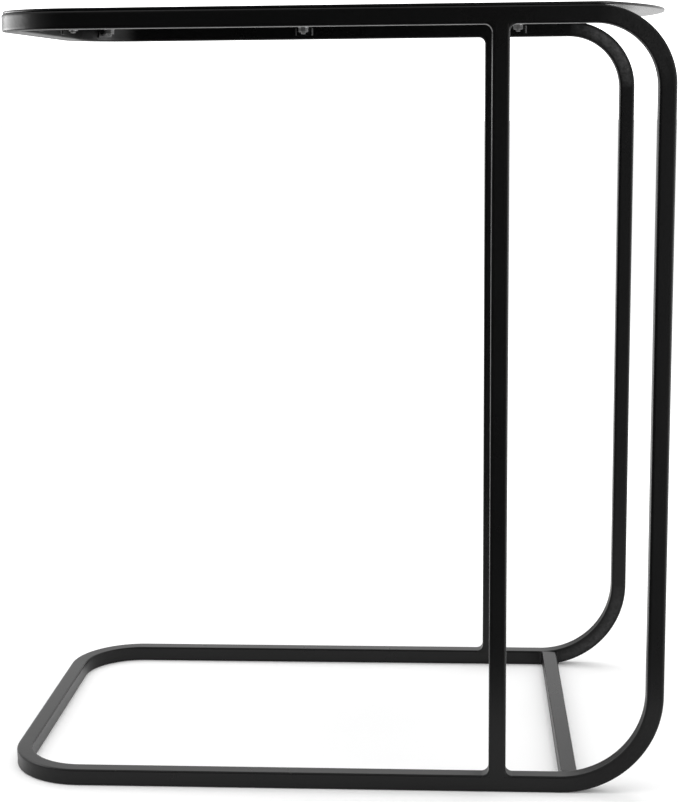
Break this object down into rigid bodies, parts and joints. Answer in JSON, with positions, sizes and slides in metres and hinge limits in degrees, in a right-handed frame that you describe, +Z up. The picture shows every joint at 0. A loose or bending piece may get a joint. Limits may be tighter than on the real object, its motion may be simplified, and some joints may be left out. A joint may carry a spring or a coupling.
{
  "type": "c shaped side table",
  "caption": "C-shaped side table: black bent square-tube steel frame with a floor loop, rear uprights, posts and a thin steel top that reaches over a seat.",
  "frame": {"origin": "on the floor, under the middle of the table's bounding box", "axes": "+Z up, +X from the open front towards the uprights, +Y to the right seen from behind the uprights, looking at the open front"},
  "size_m": [0.4809, 0.3, 0.55],
  "materials": {
    "frame_coat": "satin",
    "plate_coat": "satin",
    "zinc": "satin"
  },
  "bodies": {
    "root": {"base_hoop": "frame_coat", "top_hoop": "frame_coat", "upright_butt_welds": "frame_coat", "left_post": "frame_coat", "right_post": "frame_coat", "base_crossbar": "frame_coat", "left_post_base_weld": "frame_coat", "left_post_top_weld": "frame_coat", "right_post_base_weld": "frame_coat", "right_post_top_weld": "frame_coat", "crossbar_left_weld": "frame_coat", "crossbar_right_weld": "frame_coat", "left_front_lug": "frame_coat", "left_middle_lug": "frame_coat", "left_rear_lug": "frame_coat", "front_left_lug": "frame_coat", "right_front_lug": "frame_coat", "right_middle_lug": "frame_coat", "right_rear_lug": "frame_coat", "front_right_lug": "frame_coat", "lug_welds": "frame_coat", "top_plate": "plate_coat", "plate_studs": "zinc", "plate_nuts": "zinc"}
  },
  "joints": []
}
